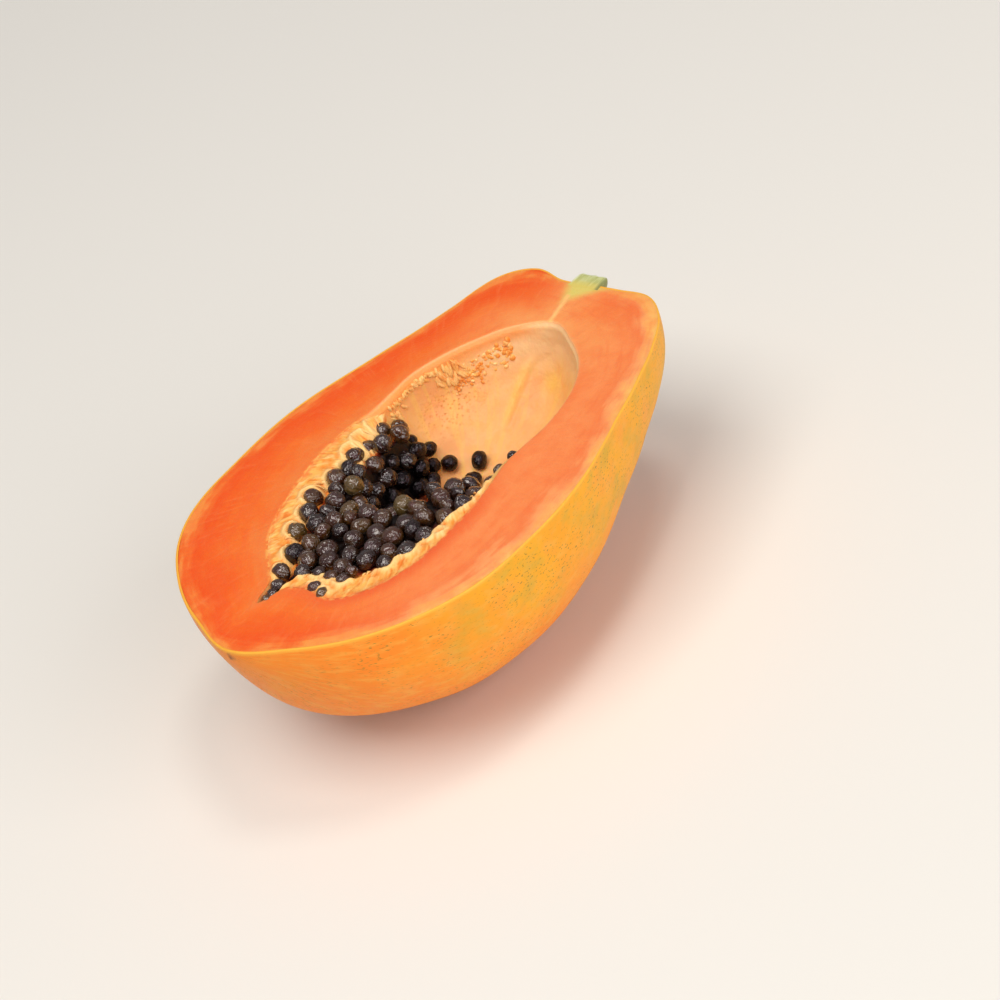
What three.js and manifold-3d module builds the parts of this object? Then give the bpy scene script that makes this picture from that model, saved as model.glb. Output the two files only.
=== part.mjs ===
// Half of a ripe papaya, cut lengthwise through its stem and lying on its back.
// The cut face looks up, and the cavity in it still holds most of its seeds.
// Millimetres. +X runs from the blossom tip to the stem, +Y to the left, +Z up.
// The shapes are worked out with the origin at the heart, the point on the long axis from which
// every outline is measured. At the end the origin moves to the middle of the bottom.

import * as THREE from 'three';
import { mergeVertices } from 'three/addons/utils/BufferGeometryUtils.js';
import Module from 'manifold-3d';

const wasm = await Module();
wasm.setup();

// ---- driving dimensions ----

// Distance from the heart to the skin. The direction is in degrees from the stem round to the
// blossom tip. The fruit isn't quite even: its left, right and under side each have a distance.
const SKIN = [
  { direction: 0, left: 93, right: 93, under: 93 },
  { direction: 8, left: 94, right: 94, under: 94.5 },
  { direction: 16, left: 100.3, right: 96.5, under: 96.5 },
  { direction: 24, left: 97.2, right: 92.4, under: 89.5 },
  { direction: 34, left: 82.3, right: 83, under: 80.3 },
  { direction: 46, left: 71.7, right: 73.6, under: 73.6 },
  { direction: 64, left: 65.4, right: 66.2, under: 69.1 },
  { direction: 88, left: 66.9, right: 66.7, under: 70.7 },
  { direction: 112, left: 73.7, right: 73.8, under: 77.6 },
  { direction: 134, left: 88, right: 86.8, under: 87 },
  { direction: 154, left: 96.7, right: 97.5, under: 98.6 },
  { direction: 168, left: 102.3, right: 103, under: 103 },
  { direction: 180, left: 108, right: 108, under: 108 },
];

// Distance from the heart to the edge of the seed cavity, in the cut face.
const OPENING = [
  { direction: 0, left: 69.5, right: 69.5 },
  { direction: 12, left: 65, right: 63.7 },
  { direction: 24, left: 57.5, right: 58.1 },
  { direction: 36, left: 50.5, right: 51.5 },
  { direction: 48, left: 44.4, right: 44.8 },
  { direction: 60, left: 37.8, right: 38.8 },
  { direction: 74, left: 33.2, right: 33.8 },
  { direction: 90, left: 32.3, right: 31.4 },
  { direction: 106, left: 32, right: 34 },
  { direction: 120, left: 35.2, right: 39 },
  { direction: 132, left: 39.7, right: 42.3 },
  { direction: 144, left: 46.6, right: 51.6 },
  { direction: 156, left: 54, right: 60.7 },
  { direction: 166, left: 62.5, right: 69.2 },
  { direction: 174, left: 71, right: 72.2 },
  { direction: 180, left: 73, right: 73 },
];
const CAVITY_DEPTH = 38;
const CAVITY_FULLNESS = 2.2; // 2 makes an elliptic bowl, more makes the floor flatter
const CLEFT = { direction: 177, length: 12, halfWidth: 3 }; // the crack at the blossom end

// The seeds line the wall of the cavity's blossom part, round a hollow that opens to the stem.
// The bed under the top seeds is level from the blossom end up to x = levelTo and then sinks a
// little. Past a slanted line through the heart, x = slant * y, it falls steeply to the floor.
const HEAP_TOP = { depth: 3.2, levelTo: -25, slope: 0.15 };
const HOLLOW = { x: 6, y: 5, halfLength: 38, halfWidth: 21, depth: 27 };
const HEAP_FRONT = { slant: 0.4, slope: 2.2 };
const SEED = { smallest: 2.5, largest: 3.4, apart: 0.92, shorter: 0.88 };
const SEED_AREA = { back: -90, front: 30, halfWidth: 50 }; // it holds the whole heap
const SEED_TRIES = 9000;
const SEED_RISE = 0.3; // how far a seed's middle stands above the bed, as a share of its radius
const LOOSE_SEEDS = [
  { x: 29.5, y: 14.5, radius: 3.3 },
  { x: 22.5, y: 11.5, radius: 3.1 },
];

const STEM = { length: 22, end: 98.6, radius: 6.6, flare: 9.5, y: 1.5, sides: 16 };
const RESTING_FLAT = 1; // the rounded back is pressed flat by this much where it lies
const SEED_GAP = 0.35; // between the seeds and the wall that they lie against
const RANDOM_SEED = 20;

const SKIN_STEPS = { round: 60, along: 40 };
const CAVITY_STEPS = { round: 80, down: 17 };
const BED_STEPS = { along: 26, across: 18 };

// ---- curves ----

// Reads one column of a table at any direction, as a smooth curve through its rows.
function along(rows, column, direction) {
  const last = rows.length - 1;
  const slope = (i) => {
    if (i === 0 || i === last) return 0;
    return (rows[i + 1][column] - rows[i - 1][column]) / (rows[i + 1].direction - rows[i - 1].direction);
  };
  let i = 0;
  while (i < last - 1 && direction > rows[i + 1].direction) i += 1;
  const span = rows[i + 1].direction - rows[i].direction;
  const t = (direction - rows[i].direction) / span;
  return (
    (2 * t ** 3 - 3 * t ** 2 + 1) * rows[i][column] +
    (t ** 3 - 2 * t ** 2 + t) * span * slope(i) +
    (3 * t ** 2 - 2 * t ** 3) * rows[i + 1][column] +
    (t ** 3 - t ** 2) * span * slope(i + 1)
  );
}

const degreesFromStem = (x, aside) => THREE.MathUtils.radToDeg(Math.atan2(aside, x));

// The skin's distance from the heart along the direction of (x, y, z).
function skinDistance(x, y, z) {
  const aside = Math.hypot(y, z);
  const direction = degreesFromStem(x, aside);
  const sideways = aside > 0 ? (y / aside) ** 2 : 1;
  const side = along(SKIN, y > 0 ? 'left' : 'right', direction);
  return side * sideways + along(SKIN, 'under', direction) * (1 - sideways);
}

function openingDistance(x, y) {
  const direction = degreesFromStem(x, Math.abs(y));
  const roundFromLeft = y > 0 ? direction : 360 - direction;
  const cleft = Math.exp(-(((roundFromLeft - CLEFT.direction) / CLEFT.halfWidth) ** 2));
  return along(OPENING, y > 0 ? 'left' : 'right', direction) + CLEFT.length * cleft;
}

// The wall of the cavity seen from the heart, along the unit direction (x, y, z).
function cavityDistance(x, y, z, inset) {
  const flat = Math.hypot(x, y);
  const outward = flat / (openingDistance(x, y) - inset);
  const downward = Math.abs(z) / (CAVITY_DEPTH - inset);
  return (outward ** CAVITY_FULLNESS + downward ** CAVITY_FULLNESS) ** (-1 / CAVITY_FULLNESS);
}

// The height of the cavity's wall under a point of the cut face, or null outside the opening.
function wallHeight(x, y) {
  const share = Math.hypot(x, y) / openingDistance(x, y);
  if (share >= 1) return null;
  return -CAVITY_DEPTH * (1 - share ** CAVITY_FULLNESS) ** (1 / CAVITY_FULLNESS);
}

// The height of the bed that the top seeds lie in.
function bedHeight(x, y) {
  const far = Math.hypot((x - HOLLOW.x) / HOLLOW.halfLength, (y - HOLLOW.y) / HOLLOW.halfWidth);
  const hollow = far < 1 ? HOLLOW.depth * Math.sqrt(1 - far ** 2) : 0;
  const sunk = Math.max(0, x - HEAP_TOP.levelTo) * HEAP_TOP.slope;
  const front = Math.max(0, x - y * HEAP_FRONT.slant) * HEAP_FRONT.slope;
  return -HEAP_TOP.depth - sunk - hollow - front;
}

// ---- solids ----

function solid(geometry) {
  const bare = geometry.clone();
  bare.deleteAttribute('normal');
  bare.deleteAttribute('uv');
  const merged = mergeVertices(bare, 1e-4);
  return new wasm.Manifold(new wasm.Mesh({
    numProp: 3,
    vertProperties: new Float32Array(merged.attributes.position.array),
    triVerts: new Uint32Array(merged.index.array),
  }));
}

// Drops the loose scraps that a cut leaves.
function largestBody(manifold) {
  const bodies = manifold.decompose();
  return bodies.reduce((most, body) => (body.volume() > most.volume() ? body : most));
}

function geometryOf(manifold) {
  const mesh = manifold.getMesh();
  const geometry = new THREE.BufferGeometry();
  geometry.setAttribute('position', new THREE.BufferAttribute(mesh.vertProperties, 3));
  geometry.setIndex(new THREE.BufferAttribute(mesh.triVerts, 1));
  const flat = geometry.toNonIndexed();
  flat.computeVertexNormals();
  return flat;
}

// A ball whose points are pushed out to a distance that depends on their direction.
function ballTo(distance, ball) {
  const points = ball.attributes.position;
  const point = new THREE.Vector3();
  for (let i = 0; i < points.count; i += 1) {
    point.fromBufferAttribute(points, i).normalize();
    point.multiplyScalar(distance(point.x, point.y, point.z));
    points.setXYZ(i, point.x, point.y, point.z);
  }
  return solid(ball);
}

function block(low, high) {
  const size = new THREE.Vector3().subVectors(high, low);
  const box = new THREE.BoxGeometry(size.x, size.y, size.z);
  const middle = new THREE.Vector3().addVectors(low, high).multiplyScalar(0.5);
  box.translate(middle.x, middle.y, middle.z);
  return solid(box);
}

const REACH = 250; // past every point of the fruit
const belowCut = block(new THREE.Vector3(-REACH, -REACH, -REACH), new THREE.Vector3(REACH, REACH, 0));

function skinSolid() {
  const ball = new THREE.SphereGeometry(1, SKIN_STEPS.round, SKIN_STEPS.along);
  ball.rotateZ(-Math.PI / 2); // poles at the stem and the tip
  ball.rotateX(Math.PI / SKIN_STEPS.round); // no row of points lies in the cut
  return ballTo(skinDistance, ball);
}

function cavitySolid(inset) {
  const ball = new THREE.SphereGeometry(1, CAVITY_STEPS.round, CAVITY_STEPS.down);
  ball.rotateX(Math.PI / 2); // poles above and below the heart
  return ballTo((x, y, z) => cavityDistance(x, y, z, inset), ball);
}

// The stub of the stem widens into the fruit.
function stemSolid() {
  const start = STEM.end - STEM.length;
  const profile = [
    [0, start], [STEM.radius, start], [STEM.flare, start + STEM.length * 0.35],
    [STEM.radius * 1.08, start + STEM.length * 0.75], [STEM.radius, STEM.end - 1],
    [STEM.radius - 0.8, STEM.end], [0, STEM.end],
  ].map(([radius, height]) => new THREE.Vector2(radius, height));
  const stub = new THREE.LatheGeometry(profile, STEM.sides);
  stub.rotateY(Math.PI / STEM.sides); // no row of points lies in the cut
  stub.rotateZ(-Math.PI / 2);
  stub.translate(0, STEM.y, 0);
  return solid(stub);
}

function seedSolid({ x, y, z, radius, turn }) {
  const seed = new THREE.OctahedronGeometry(radius, 1);
  seed.scale(1, SEED.shorter, SEED.shorter);
  seed.rotateX(turn);
  seed.rotateZ(turn * 2);
  seed.translate(x, y, z);
  return solid(seed);
}

// ---- seeds ----

// Random numbers from 0 to 1, the same in each run.
function randomNumbers(start) {
  let state = start;
  return () => {
    state = (state + 0x6d2b79f5) >>> 0;
    let mixed = Math.imul(state ^ (state >>> 15), state | 1);
    mixed ^= mixed + Math.imul(mixed ^ (mixed >>> 7), mixed | 61);
    return ((mixed ^ (mixed >>> 14)) >>> 0) / 4294967296;
  };
}

// Seeds are thrown on the bed at random, the largest first. One that would lie on another, or
// come through the wall or the cut face, is thrown again elsewhere.
function seedPlaces() {
  const random = randomNumbers(RANDOM_SEED);
  const places = [];
  for (let i = 0; i < SEED_TRIES; i += 1) {
    const x = THREE.MathUtils.lerp(SEED_AREA.back, SEED_AREA.front, random());
    const y = THREE.MathUtils.lerp(-SEED_AREA.halfWidth, SEED_AREA.halfWidth, random());
    const share = i / SEED_TRIES;
    const radius = SEED.largest - (SEED.largest - SEED.smallest) * share;
    const turn = random() * Math.PI * 2;
    const z = Math.min(bedHeight(x, y) + radius * SEED_RISE, -radius);
    const wall = wallHeight(x, y);
    const outward = 1 + (radius * 0.8) / Math.hypot(x, y);
    const wallBeside = wallHeight(x * outward, y * outward);
    if (wallBeside === null || wallBeside > z - radius * 0.2) continue;
    if (wall > bedHeight(x, y) - radius * 0.5) continue;
    const free = places.every((other) => {
      const apart = Math.hypot(x - other.x, y - other.y, z - other.z);
      return apart > (radius + other.radius) * SEED.apart;
    });
    if (free) places.push({ x, y, z, radius, turn });
  }
  return places;
}

function bedSolid() {
  const low = { x: -100, y: -60, z: -60 };
  const high = { x: 80, y: 60 };
  const bed = new THREE.BoxGeometry(1, 1, 1, BED_STEPS.along, BED_STEPS.across, 1);
  const points = bed.attributes.position;
  for (let i = 0; i < points.count; i += 1) {
    const x = low.x + (points.getX(i) + 0.5) * (high.x - low.x);
    const y = low.y + (points.getY(i) + 0.5) * (high.y - low.y);
    const top = Math.max(bedHeight(x, y), low.z + 1);
    points.setXYZ(i, x, y, points.getZ(i) > 0 ? top : low.z);
  }
  return solid(bed);
}

// ---- the two pieces ----

function fruitSolid() {
  const whole = skinSolid().add(stemSolid()).intersect(belowCut);
  const lowest = whole.boundingBox().min[2] + RESTING_FLAT;
  const aboveFloor = block(
    new THREE.Vector3(-REACH, -REACH, lowest),
    new THREE.Vector3(REACH, REACH, REACH),
  );
  let fruit = whole.intersect(aboveFloor).subtract(cavitySolid(0));
  LOOSE_SEEDS.forEach(({ x, y, radius }) => {
    const z = wallHeight(x, y) + radius * 0.75;
    fruit = fruit.add(seedSolid({ x, y, z, radius, turn: x }));
  });
  return fruit;
}

function seedsSolid() {
  const space = cavitySolid(SEED_GAP).intersect(belowCut);
  let heap = bedSolid();
  seedPlaces().forEach((place) => {
    heap = heap.add(seedSolid(place));
  });
  return largestBody(heap.intersect(space));
}

const fruit = fruitSolid();
const box = fruit.boundingBox();
const toBottom = new THREE.Vector3(
  -(box.min[0] + box.max[0]) / 2,
  -(box.min[1] + box.max[1]) / 2,
  -box.min[2],
);

function piece(name, manifold, look) {
  const mesh = new THREE.Mesh(geometryOf(manifold), new THREE.MeshStandardMaterial(look));
  mesh.name = name;
  return mesh;
}

const papayaHalf = new THREE.Group();
papayaHalf.position.copy(toBottom);
papayaHalf.add(piece('fruit', fruit, { color: 0xf08a4a, roughness: 0.45, metalness: 0 }));
papayaHalf.add(piece('seeds', seedsSolid(), { color: 0x2c211c, roughness: 0.25, metalness: 0 }));

export default papayaHalf;
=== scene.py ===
"""The looks of half a ripe papaya that lies on its back with the cut face up.

Shapes are worked out in millimetres from the heart, the point on the fruit's long axis in the
cut face from which each outline is measured: +X to the stem, +Y to the left, +Z up.
"""

import math
from functools import partial

import bpy
import numpy as np
from mathutils import Matrix, Vector, noise


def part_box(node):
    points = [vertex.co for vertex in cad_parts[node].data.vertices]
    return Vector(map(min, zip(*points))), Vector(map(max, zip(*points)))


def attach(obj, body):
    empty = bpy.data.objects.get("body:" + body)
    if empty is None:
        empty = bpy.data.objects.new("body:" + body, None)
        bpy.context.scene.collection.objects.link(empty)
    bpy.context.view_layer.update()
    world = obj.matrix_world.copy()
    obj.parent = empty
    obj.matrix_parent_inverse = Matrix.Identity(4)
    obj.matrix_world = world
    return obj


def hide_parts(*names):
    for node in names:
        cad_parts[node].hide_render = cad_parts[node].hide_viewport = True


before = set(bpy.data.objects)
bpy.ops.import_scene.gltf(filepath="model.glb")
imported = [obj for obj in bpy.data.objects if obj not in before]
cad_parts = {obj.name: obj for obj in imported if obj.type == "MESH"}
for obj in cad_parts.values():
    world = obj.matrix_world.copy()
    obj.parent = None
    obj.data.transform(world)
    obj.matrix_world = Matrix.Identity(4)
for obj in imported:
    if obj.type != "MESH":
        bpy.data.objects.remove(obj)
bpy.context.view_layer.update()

MM = 0.001

# ---- driving dimensions, in millimetres and degrees ----

# Distance from the heart to the skin, by the direction from the stem round to the blossom tip.
SKIN = {
    "direction": (0, 8, 16, 24, 34, 46, 64, 88, 112, 134, 154, 168, 180),
    "left": (93, 94, 100.3, 97.2, 82.3, 71.7, 65.4, 66.9, 73.7, 88, 96.7, 102.3, 108),
    "right": (93, 94, 96.5, 92.4, 83, 73.6, 66.2, 66.7, 73.8, 86.8, 97.5, 103, 108),
    "under": (93, 94.5, 96.5, 89.5, 80.3, 73.6, 69.1, 70.7, 77.6, 87, 98.6, 103, 108),
}
# Distance from the heart to the edge of the flesh round the cavity, and the width of the
# fibrous lining inside it.
CAVITY = {
    "direction": (0, 12, 24, 36, 48, 60, 74, 90, 106, 120, 132, 144, 156, 166, 174, 180),
    "left": (70.5, 66, 58.5, 52, 46.4, 40.3, 36.7, 37.3, 39.6, 43.2, 47.4, 54.3, 63, 69.4, 75.5, 75),
    "right": (70.5, 64.7, 59.1, 52.5, 45.8, 40.3, 35.3, 33.4, 36.6, 42.4, 49.6, 61, 72, 77.6, 74, 75),
    "left_fibres": (1, 1, 1, 1, 1, 1.5, 2.5, 4.5, 7.6, 8, 7.7, 7.7, 8, 6, 3, 5.5),
    "right_fibres": (1, 1, 1, 1, 1, 1.5, 1.5, 2, 3, 3.4, 6.5, 9.4, 10.5, 9, 7, 5.5),
}
TIP_DISTANCE = 108
# The cavity runs out into a narrow cleft, where this share of the lining's width is missing.
CLEFT = {"direction": 175.8, "length": 10, "half_width": 2, "bare": 0.9}
CAVITY_DEPTH = 38
CAVITY_FULLNESS = 2.2  # of the wall's curve: 2 makes an ellipse, and more a boxier shape
SKIN_THICKNESS = 0.9
# Usual distances from the heart to the cavity's wall, and from the long axis to the skin.
WALL_DISTANCE = 45
BELLY_RADIUS = 70

# The bed that the seeds lie in. It sinks a little towards the stem, falls steeply past a
# slanted line through the heart, and has a hollow that opens to the stem.
HEAP_TOP = {"depth": 3.2, "level_to": -25, "slope": 0.15}
HOLLOW = {"x": 4, "y": 2.5, "half_length": 37, "half_width": 21, "depth": 28}
HEAP_FRONT = {"slant": 0.4, "slope": 2.2}

low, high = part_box("fruit")
HEART = Vector((low.x / MM + TIP_DISTANCE, 0, high.z / MM))
LOWEST = low.z / MM - HEART.z
STRAIGHT_DOWN = math.pi / 2


# ---- curves and marks ----

def along(table, column, direction):
    """One column of a table at any directions, as a smooth curve through its rows."""
    stations = np.array(table["direction"], float)
    values = np.array(table[column], float)
    slopes = np.zeros(len(values))
    slopes[1:-1] = (values[2:] - values[:-2]) / (stations[2:] - stations[:-2])
    i = np.clip(np.searchsorted(stations, direction, side="right") - 1, 0, len(values) - 2)
    span = stations[i + 1] - stations[i]
    t = (direction - stations[i]) / span
    return (
        (2 * t**3 - 3 * t**2 + 1) * values[i]
        + (t**3 - 2 * t**2 + t) * span * slopes[i]
        + (3 * t**2 - 2 * t**3) * values[i + 1]
        + (t**3 - t**2) * span * slopes[i + 1]
    )


def ramp(value, start, end):
    """A smooth rise from 0 at the start to 1 at the end."""
    t = np.clip((value - start) / (end - start), 0, 1)
    return t * t * (3 - 2 * t)


def hill(value, middle, half_width):
    return np.exp(-(((value - middle) / half_width) ** 2))


def marks(table, measures):
    """How strong each mark of a table is at points with the given measures.

    A mark is its full strength and its steps. Each step names a measure, and the two values of
    it between which the mark rises from nothing to its full strength.
    """
    return {
        name: strength * math.prod(ramp(measures[key], start, end) for key, start, end in steps)
        for name, (strength, *steps) in table.items()
    }


def lumps(points, size, pattern=0.0):
    """Soft random relief from -1 to 1, with lumps of about the given size, by pattern number."""
    shift = Vector((pattern, pattern * 1.7, pattern * 2.3))
    scaled = np.asarray(points, float) / size
    flat = scaled.reshape(-1, 3)
    values = np.fromiter((noise.noise(Vector(p) + shift) for p in flat), float, len(flat))
    return values.reshape(scaled.shape[:-1])


def fanned(x, y, outward, squeeze=1):
    """Places for a grain that fans out from the heart: millimetres across it at the wall's
    usual distance, squeezed by a factor, and outward as given."""
    across = WALL_DISTANCE / squeeze / np.maximum(np.hypot(x, y), 1e-9)
    return np.stack([x * across, y * across, outward], -1)


def round_heart(cos, sin, distance, height):
    """Points in some directions from the heart, at distances and heights."""
    return np.stack([cos * distance, sin * distance, height + 0 * cos], -1)


def skin_distance(x, y, z):
    aside = np.hypot(y, z)
    direction = np.degrees(np.arctan2(aside, x))
    sideways = (y / np.maximum(aside, 1e-9)) ** 2
    side = np.where(y > 0, along(SKIN, "left", direction), along(SKIN, "right", direction))
    return side * sideways + along(SKIN, "under", direction) * (1 - sideways)


def cavity_size(left, right, x, y):
    """A size of the cavity in the direction of points, from its left or its right column."""
    direction = np.degrees(np.arctan2(np.abs(y), x))
    return np.where(y > 0, along(CAVITY, left, direction), along(CAVITY, right, direction))


def in_cleft(x, y):
    """1 in the direction of the cleft's middle, and less towards its sides."""
    return hill(np.degrees(np.arctan2(y, x)) % 360, CLEFT["direction"], CLEFT["half_width"])


def edge_distance(x, y):
    return cavity_size("left", "right", x, y) + CLEFT["length"] * in_cleft(x, y)


def opening_distance(x, y):
    fibres = cavity_size("left_fibres", "right_fibres", x, y)
    return edge_distance(x, y) - fibres * (1 - CLEFT["bare"] * in_cleft(x, y))


def edge_and_width(x, y):
    """The flesh edge's distance and the lining's width, in the direction of points."""
    edge = edge_distance(x, y)
    return edge, edge - opening_distance(x, y)


def wall_height(x, y):
    """The height of the cavity's wall under points of the cut face, and 0 outside it."""
    share = np.clip(np.hypot(x, y) / opening_distance(x, y), 0, 1)
    return -CAVITY_DEPTH * (1 - share**CAVITY_FULLNESS) ** (1 / CAVITY_FULLNESS)


def wall_point(angle, height):
    """Points on the cavity's wall, at angles round the heart and heights below the cut face."""
    cos, sin = np.cos(angle), np.sin(angle)
    share = (1 - (-height / CAVITY_DEPTH) ** CAVITY_FULLNESS) ** (1 / CAVITY_FULLNESS)
    return round_heart(cos, sin, opening_distance(cos, sin) * share, height)


def bed_height(x, y):
    far = np.hypot((x - HOLLOW["x"]) / HOLLOW["half_length"], (y - HOLLOW["y"]) / HOLLOW["half_width"])
    hollow = HOLLOW["depth"] * np.sqrt(np.clip(1 - far**2, 0, 1))
    sunk = np.maximum(0, x - HEAP_TOP["level_to"]) * HEAP_TOP["slope"]
    front = np.maximum(0, x - y * HEAP_FRONT["slant"]) * HEAP_FRONT["slope"]
    return -HEAP_TOP["depth"] - sunk - hollow - front


# ---- meshes ----

TUBE_SIDES = 7
TUBE_END = 0.6  # how far a tube's tips stand out, as a share of its radius there


def add_piece(name, points, faces, materials, replaced, attributes, face_materials=None, sharp=60):
    """A smooth mesh piece, from points in millimetres from the heart.

    An attribute is a number, or a place in millimetres, for each point.
    """
    mesh = bpy.data.meshes.new(name)
    placed = (np.asarray(points, float) + np.array(HEART)) * MM
    mesh.from_pydata(placed.tolist(), [], [list(map(int, face)) for face in faces])
    for material in materials:
        mesh.materials.append(material)
    if face_materials is not None:
        mesh.polygons.foreach_set("material_index", np.asarray(face_materials, np.int32))
    for label, values in attributes.items():
        kind, key, unit = ("FLOAT_VECTOR", "vector", MM) if values.ndim > 1 else ("FLOAT", "value", 1)
        layer = mesh.attributes.new(label, kind, "POINT")
        layer.data.foreach_set(key, (values * unit).astype(np.float32).ravel())
    mesh.shade_smooth()
    mesh.set_sharp_from_angle(angle=math.radians(sharp))
    piece = bpy.data.objects.new(name, mesh)
    bpy.context.scene.collection.objects.link(piece)
    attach(piece, "root")
    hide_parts(*replaced)


def directions(around):
    angle = np.arange(around) * 2 * math.pi / around
    return np.cos(angle), np.sin(angle)


def band_faces(near, far, around):
    """Faces between two rings of points, from the numbers of their first points."""
    step = np.arange(around)
    after = (step + 1) % around
    return list(zip(near + step, near + after, far + after, far + step))


def ring_faces(rings, around):
    """Faces of a closed body made of a first pole, rings of points and a last pole."""
    last_pole = 1 + rings * around
    faces = [(0, 1 + (a + 1) % around, 1 + a) for a in range(around)]
    for first in range(1, last_pole - around, around):
        faces += band_faces(first, first + around, around)
    final = last_pole - around
    return faces + [(last_pole, final + a, final + (a + 1) % around) for a in range(around)]


def ring_body(first_pole, rings, last_pole):
    return np.concatenate([[first_pole], np.concatenate(rings), [last_pole]])


def ball(sides, rings):
    """The points and faces of a round ball."""
    cos, sin = directions(sides)
    down = math.pi * np.arange(1, rings + 1) / (rings + 1)
    rows = [np.stack([math.sin(a) * cos, math.sin(a) * sin, np.full(sides, -math.cos(a))], -1) for a in down]
    return ring_body([0, 0, -1], rows, [0, 0, 1]), ring_faces(rings, sides)


def tubes(lines, radii, across):
    """Closed round bodies along lines of points, as an array of bodies and their faces."""
    ahead = np.gradient(lines, axis=1)
    ahead /= np.linalg.norm(ahead, axis=2, keepdims=True)
    across = across[:, None] - ahead * np.sum(across[:, None] * ahead, axis=2, keepdims=True)
    across /= np.linalg.norm(across, axis=2, keepdims=True)
    up = np.cross(ahead, across)
    cos, sin = (part[:, None] for part in directions(TUBE_SIDES))
    rings = lines[:, :, None] + radii[:, :, None, None] * (across[:, :, None] * cos + up[:, :, None] * sin)
    first = lines[:, 0] - ahead[:, 0] * radii[:, :1] * TUBE_END
    last = lines[:, -1] + ahead[:, -1] * radii[:, -1:] * TUBE_END
    bodies = np.concatenate([first[:, None], rings.reshape(len(lines), -1, 3), last[:, None]], axis=1)
    return bodies, ring_faces(lines.shape[1], TUBE_SIDES)


def join(groups):
    """Groups of (bodies of one build, their faces) as one list of points and one of faces."""
    points, faces, count = [], [], 0
    for bodies, body_faces in groups:
        for body in bodies:
            faces += [tuple(count + corner for corner in face) for face in body_faces]
            count += len(body)
        points.append(bodies.reshape(-1, 3))
    return np.concatenate(points), faces


# ---- colours and shader nodes ----

def linear(code):
    """An sRGB hex colour as linear red, green, blue and alpha."""
    parts = [int(code[i:i + 2], 16) / 255 for i in (1, 3, 5)]
    return [p / 12.92 if p <= 0.04045 else ((p + 0.055) / 1.055) ** 2.4 for p in parts] + [1]


def grains(place, size, detail):
    """The inputs of a texture whose grains are a size in millimetres across."""
    return {"Vector": place, "Scale": 1 / (size * MM), "Detail": detail}


def glow(weight, depth, tint, ior):
    """The looks of matter that light sinks into, to a depth in millimetres for red."""
    return {"Subsurface Weight": weight, "Subsurface Radius": tint,
            "Subsurface Scale": depth * MM, "IOR": ior}


def node(tree, kind, inputs=(), output=0, stops=(), **settings):
    """Adds a shader node and gives back one of its outputs.

    Inputs come in order, or by name or number. One is linked if its value is a socket or the
    name of an attribute of the mesh, and otherwise set to a number or a hex colour.
    """
    made = tree.nodes.new("ShaderNode" + kind)
    for key, value in settings.items():
        setattr(made, key, value)
    for key, value in inputs.items() if isinstance(inputs, dict) else enumerate(inputs):
        if isinstance(value, str) and not value.startswith("#"):
            part = "Vector" if made.inputs[key].type == "VECTOR" else "Fac"
            value = node(tree, "Attribute", output=part, attribute_name=value)
        if isinstance(value, bpy.types.NodeSocket):
            tree.links.new(value, made.inputs[key])
        else:
            made.inputs[key].default_value = linear(value) if isinstance(value, str) else value
    for _ in stops[2:]:
        made.color_ramp.elements.new(0.5)
    for i, (place, code) in enumerate(stops):
        made.color_ramp.elements[i].position = place
        made.color_ramp.elements[i].color = linear(code)
    return made.outputs[output] if made.outputs else None


# Settings that many nodes share. The inputs of MapRange are a value, the range that it comes
# from and the range that it goes to, which is 0 to 1 where it isn't given. Those of Mix are 0 for
# the amount, and 6 and 7 for the two colours.
SOFT = {"interpolation_type": "SMOOTHSTEP"}
COLORS = {"data_type": "RGBA", "output": 2}


def make_material(name, surface_of):
    """A material of a Principled surface, whose inputs a function works out with added nodes."""
    material = bpy.data.materials.new(name)
    material.use_nodes = True
    material.node_tree.nodes.clear()
    add = partial(node, material.node_tree)
    place = add("TexCoord", output="Object")
    add("OutputMaterial", {"Surface": add("BsdfPrincipled", surface_of(add, place))})
    return material


def surface(add, color, layers, relief, roughness, looks):
    """A surface with layers of colour, each an amount and its colour, over its own.

    The relief is a height and how deep it is in millimetres, and the roughness a MapRange.
    """
    for amount, code in layers:
        color = add("Mix", {0: amount, 6: color, 7: code}, **COLORS)
    height, depth = relief
    normal = add("Bump", {"Strength": 0.6, "Distance": depth * MM, "Height": height})
    return {"Base Color": color, "Roughness": add("MapRange", roughness), "Normal": normal, **looks}


# Light sinks a few millimetres into wet fruit, red the farthest, so that edges glow. The index
# is that of sugary water.
FLESH_GLOW = glow(0.25, 3, (1, 0.4, 0.15), 1.37)
# The flesh's colours, by the share of the way from the cavity's edge to the skin.
LEFT_FLESH = ((0, "#ef813c"), (0.3, "#f27125"), (0.55, "#f0621b"),
              (0.78, "#ee5514"), (0.92, "#f06d26"), (1, "#f58f40"))
RIGHT_FLESH = ((0, "#f4874a"), (0.3, "#f68f52"), (0.6, "#f48a4d"),
               (0.72, "#f28249"), (0.86, "#f9a364"), (1, "#fdbb66"))


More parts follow.
